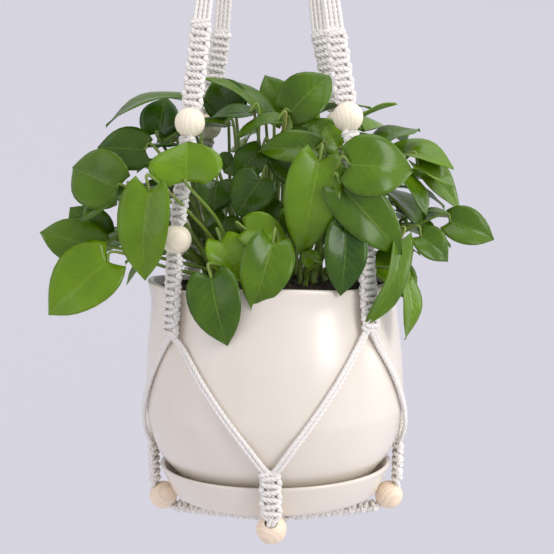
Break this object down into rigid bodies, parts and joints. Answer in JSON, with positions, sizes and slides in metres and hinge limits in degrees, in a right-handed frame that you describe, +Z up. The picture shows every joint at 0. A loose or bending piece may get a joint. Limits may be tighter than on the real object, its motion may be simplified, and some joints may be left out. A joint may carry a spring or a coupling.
{
  "type": "hanging macrame planter",
  "caption": "Knotted cotton cord hanger with turned wooden beads, holding a glazed pot on a saucer, planted with a trailing pothos; hangs from a wooden ring",
  "frame": {"origin": "the inner top of the hanging ring, where the hook bears", "axes": "+Z up; the pot's axis hangs straight below the origin along -Z; -Y is the front, where one of the lower beads faces the room; +X is the planter's right as seen from the front"},
  "size_m": [0.3911, 0.2432, 0.9455],
  "materials": {
    "ring_wood": "smooth turned wood, waxed",
    "cotton_cord": "natural cotton cord, undyed",
    "bead_wood": "pale turned wood, bare",
    "pot_glaze": "cream glaze, softly glossy",
    "potting_soil": "dark loose potting soil with bark",
    "pothos_leaf": "waxy green leaf"
  },
  "bodies": {
    "ring": {"hanging_ring": "ring_wood"},
    "hanger": {"ring_loops": "cotton_cord", "gathering_wrap": "cotton_cord", "front_left_upper_cords": "cotton_cord", "front_left_sinnet_1": "cotton_cord", "front_left_sinnet_2": "cotton_cord", "front_left_sinnet_3": "cotton_cord", "front_right_upper_cords": "cotton_cord", "front_right_sinnet_1": "cotton_cord", "front_right_sinnet_2": "cotton_cord", "front_right_sinnet_3": "cotton_cord", "back_right_upper_cords": "cotton_cord", "back_right_sinnet_1": "cotton_cord", "back_right_sinnet_2": "cotton_cord", "back_right_sinnet_3": "cotton_cord", "back_left_upper_cords": "cotton_cord", "back_left_sinnet_1": "cotton_cord", "back_left_sinnet_2": "cotton_cord", "back_left_sinnet_3": "cotton_cord", "front_left_to_left_cords": "cotton_cord", "front_left_to_front_cords": "cotton_cord", "front_right_to_front_cords": "cotton_cord", "front_right_to_right_cords": "cotton_cord", "back_right_to_right_cords": "cotton_cord", "back_right_to_back_cords": "cotton_cord", "back_left_to_back_cords": "cotton_cord", "back_left_to_left_cords": "cotton_cord", "front_lower_sinnet": "cotton_cord", "front_spoke": "cotton_cord", "right_lower_sinnet": "cotton_cord", "right_spoke": "cotton_cord", "back_lower_sinnet": "cotton_cord", "back_spoke": "cotton_cord", "left_lower_sinnet": "cotton_cord", "left_spoke": "cotton_cord", "centre_knot": "cotton_cord"},
    "front_left_bead_1_body": {"front_left_bead_1": "bead_wood"},
    "front_left_bead_2_body": {"front_left_bead_2": "bead_wood"},
    "front_right_bead_1_body": {"front_right_bead_1": "bead_wood"},
    "front_right_bead_2_body": {"front_right_bead_2": "bead_wood"},
    "back_right_bead_1_body": {"back_right_bead_1": "bead_wood"},
    "back_right_bead_2_body": {"back_right_bead_2": "bead_wood"},
    "back_left_bead_1_body": {"back_left_bead_1": "bead_wood"},
    "back_left_bead_2_body": {"back_left_bead_2": "bead_wood"},
    "front_lower_bead_body": {"front_lower_bead": "bead_wood"},
    "right_lower_bead_body": {"right_lower_bead": "bead_wood"},
    "back_lower_bead_body": {"back_lower_bead": "bead_wood"},
    "left_lower_bead_body": {"left_lower_bead": "bead_wood"},
    "saucer_body": {"saucer": "pot_glaze"},
    "pot_body": {"glazed_pot": "pot_glaze"},
    "plant_body": {"root_ball": "potting_soil", "pothos": "pothos_leaf"}
  },
  "joints": [
    {"name": "hanger_swing", "type": "hinge", "parent": "ring", "child": "hanger", "pos_m": [0, 0, -0.0565], "axis": [1, 0, 0], "range_deg": [-12, 12]},
    {"name": "front_left_bead_1_spin", "type": "hinge", "parent": "hanger", "child": "front_left_bead_1_body", "pos_m": [-0.0652, -0.0652, -0.5775], "axis": [-0.1198, -0.1198, -0.9855], "continuous": true},
    {"name": "front_left_bead_2_spin", "type": "hinge", "parent": "hanger", "child": "front_left_bead_2_body", "pos_m": [-0.07679, -0.07679, -0.6735], "axis": [-0.095, -0.095, -0.9909], "continuous": true},
    {"name": "front_right_bead_1_spin", "type": "hinge", "parent": "hanger", "child": "front_right_bead_1_body", "pos_m": [0.0652, -0.0652, -0.5745], "axis": [0.1353, -0.1353, -0.9815], "continuous": true},
    {"name": "front_right_bead_2_spin", "type": "hinge", "parent": "hanger", "child": "front_right_bead_2_body", "pos_m": [0.07679, -0.07679, -0.6605], "axis": [0.0961, -0.0961, -0.9907], "continuous": true},
    {"name": "back_right_bead_1_spin", "type": "hinge", "parent": "hanger", "child": "back_right_bead_1_body", "pos_m": [0.0601, 0.07029, -0.575], "axis": [0.1941, 0.0503, -0.9797], "continuous": true},
    {"name": "back_right_bead_2_spin", "type": "hinge", "parent": "hanger", "child": "back_right_bead_2_body", "pos_m": [0.07679, 0.07679, -0.665], "axis": [0.1244, 0.0666, -0.99], "continuous": true},
    {"name": "back_left_bead_1_spin", "type": "hinge", "parent": "hanger", "child": "back_left_bead_1_body", "pos_m": [-0.06237, 0.06802, -0.577], "axis": [-0.1591, 0.0807, -0.9839], "continuous": true},
    {"name": "back_left_bead_2_spin", "type": "hinge", "parent": "hanger", "child": "back_left_bead_2_body", "pos_m": [-0.07679, 0.07679, -0.669], "axis": [-0.1116, 0.0795, -0.9906], "continuous": true},
    {"name": "front_lower_bead_spin", "type": "hinge", "parent": "hanger", "child": "front_lower_bead_body", "pos_m": [0, -0.102, -0.9103], "axis": [0, 0.7071, -0.7071], "continuous": true},
    {"name": "right_lower_bead_spin", "type": "hinge", "parent": "hanger", "child": "right_lower_bead_body", "pos_m": [0.102, 0, -0.9103], "axis": [-0.7071, 0, -0.7071], "continuous": true},
    {"name": "back_lower_bead_spin", "type": "hinge", "parent": "hanger", "child": "back_lower_bead_body", "pos_m": [0, 0.102, -0.9103], "axis": [0, -0.7071, -0.7071], "continuous": true},
    {"name": "left_lower_bead_spin", "type": "hinge", "parent": "hanger", "child": "left_lower_bead_body", "pos_m": [-0.102, 0, -0.9103], "axis": [0.7071, 0, -0.7071], "continuous": true},
    {"name": "saucer_turn", "type": "hinge", "parent": "hanger", "child": "saucer_body", "pos_m": [0, 0, -0.9042], "axis": [0, 0, 1], "continuous": true},
    {"name": "pot_lift", "type": "slide", "parent": "hanger", "child": "pot_body", "axis": [0, 0, 1], "range_m": [0, 0.005]},
    {"name": "plant_lift", "type": "slide", "parent": "pot_body", "child": "plant_body", "axis": [0, 0, 1], "range_m": [0, 0.025]}
  ]
}
